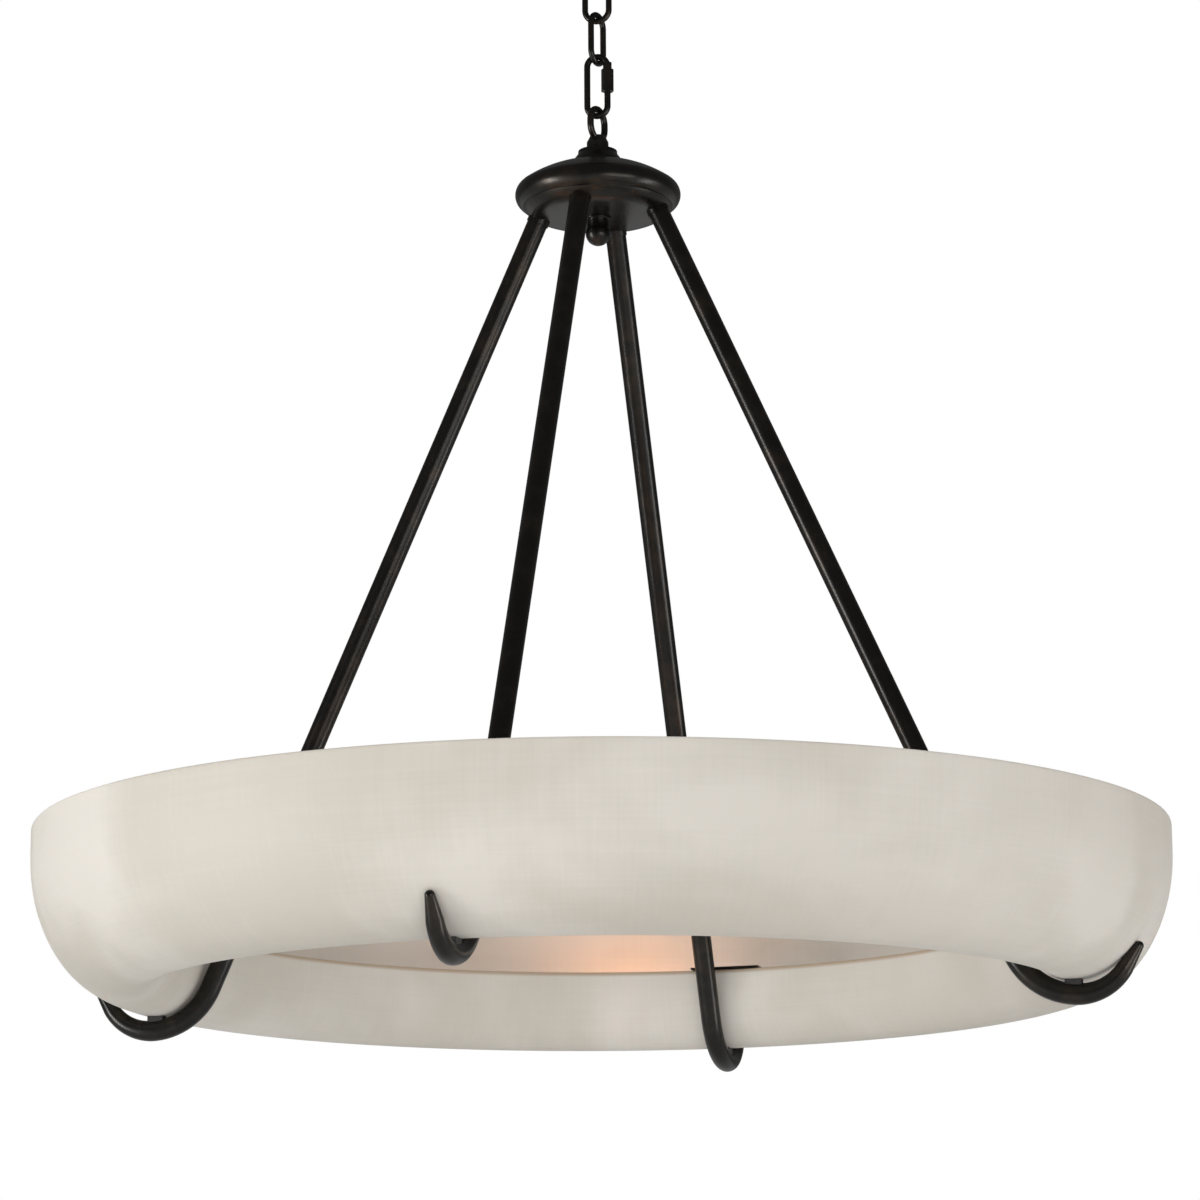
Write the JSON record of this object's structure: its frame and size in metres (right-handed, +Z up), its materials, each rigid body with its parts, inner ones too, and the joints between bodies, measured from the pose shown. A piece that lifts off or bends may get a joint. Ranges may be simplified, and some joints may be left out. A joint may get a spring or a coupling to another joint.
{
  "type": "ring pendant light",
  "caption": "Open alabaster trough ring carried by slanted bars with tapered hooks, hung from a domed hub on a short chain with a quick link and a canopy.",
  "frame": {"origin": "middle of the crossbar's upper face, on the ceiling", "axes": "+Z up along the hanging axis, bars in the X and Y planes, crossbar along X"},
  "size_m": [0.9132, 0.9132, 0.971],
  "materials": {
    "bronze": "dark bronze, satin",
    "alabaster": "honed, softly clouded",
    "steel": "zinc plated",
    "porcelain": "glazed white",
    "brass": "plain",
    "frosted_glass": "frosted, lit warm",
    "pad": "matt felt-like"
  },
  "bodies": {
    "ceiling_fitting": {"ceiling_crossbar": "steel", "canopy_nipple": "steel", "canopy_lock_nuts": "steel", "canopy_loop": "bronze"},
    "canopy": {"canopy_cover": "bronze", "canopy_ring_nut": "bronze"},
    "link_1": {"chain_link_1": "bronze"},
    "link_2": {"chain_link_2": "bronze"},
    "link_3": {"chain_link_3": "bronze"},
    "quick": {"quick_link": "bronze"},
    "sleeve": {"quick_link_sleeve": "bronze"},
    "fixture": {"hub_loop": "bronze", "hub_collar": "bronze", "hub_cover": "bronze", "hub_plate": "bronze", "hub_nipple": "steel", "hub_lock_nuts": "steel", "hub_finial": "bronze", "bar_set_screws": "steel", "bar_ferrules": "bronze", "hook_pads": "pad", "alabaster_ring": "alabaster", "bracket_screws": "bronze", "lampholder_contacts": "brass", "lampholder_nuts": "brass", "hook_bar_1": "bronze", "lamp_bracket_1": "bronze", "lampholder_1": "porcelain", "hook_bar_2": "bronze", "lamp_bracket_2": "bronze", "lampholder_2": "porcelain", "hook_bar_3": "bronze", "lamp_bracket_3": "bronze", "lampholder_3": "porcelain", "hook_bar_4": "bronze", "lamp_bracket_4": "bronze", "lampholder_4": "porcelain"},
    "lamp_1": {"bulb_1": "frosted_glass", "bulb_cap_1": "brass"},
    "lamp_2": {"bulb_2": "frosted_glass", "bulb_cap_2": "brass"},
    "lamp_3": {"bulb_3": "frosted_glass", "bulb_cap_3": "brass"},
    "lamp_4": {"bulb_4": "frosted_glass", "bulb_cap_4": "brass"}
  },
  "joints": [
    {"name": "canopy_slide", "type": "slide", "parent": "ceiling_fitting", "child": "canopy", "axis": [0, 0, 1], "range_m": [-0.018, 0]},
    {"name": "loop_to_link_1", "type": "hinge", "parent": "ceiling_fitting", "child": "link_1", "pos_m": [0, 0, -0.06145], "axis": [0.9938, 0.1115, 0], "range_deg": [-15, 15]},
    {"name": "link_1_to_link_2", "type": "hinge", "parent": "link_1", "child": "link_2", "pos_m": [0, 0, -0.0977], "axis": [0.2351, 0.972, 0], "range_deg": [-15, 15]},
    {"name": "link_2_to_link_3", "type": "hinge", "parent": "link_2", "child": "link_3", "pos_m": [0, 0, -0.1342], "axis": [0.9938, 0.1115, 0], "range_deg": [-15, 15]},
    {"name": "link_3_to_quick_link", "type": "hinge", "parent": "link_3", "child": "quick", "pos_m": [0, 0, -0.1707], "axis": [0.2351, 0.972, 0], "range_deg": [-15, 15]},
    {"name": "quick_link_to_hub", "type": "hinge", "parent": "quick", "child": "fixture", "pos_m": [0, 0, -0.2166], "axis": [0.9938, 0.1115, 0], "range_deg": [-15, 15]},
    {"name": "quick_link_sleeve_slide", "type": "slide", "parent": "quick", "child": "sleeve", "axis": [0, 0, 1], "range_m": [-0.009, 0]},
    {"name": "bulb_1_unscrew", "type": "slide", "parent": "fixture", "child": "lamp_1", "axis": [0, 1, 0], "range_m": [0, 0.025]},
    {"name": "bulb_2_unscrew", "type": "slide", "parent": "fixture", "child": "lamp_2", "axis": [-1, 0, 0], "range_m": [0, 0.025]},
    {"name": "bulb_3_unscrew", "type": "slide", "parent": "fixture", "child": "lamp_3", "axis": [0, -1, 0], "range_m": [0, 0.025]},
    {"name": "bulb_4_unscrew", "type": "slide", "parent": "fixture", "child": "lamp_4", "axis": [1, 0, 0], "range_m": [0, 0.025]}
  ]
}
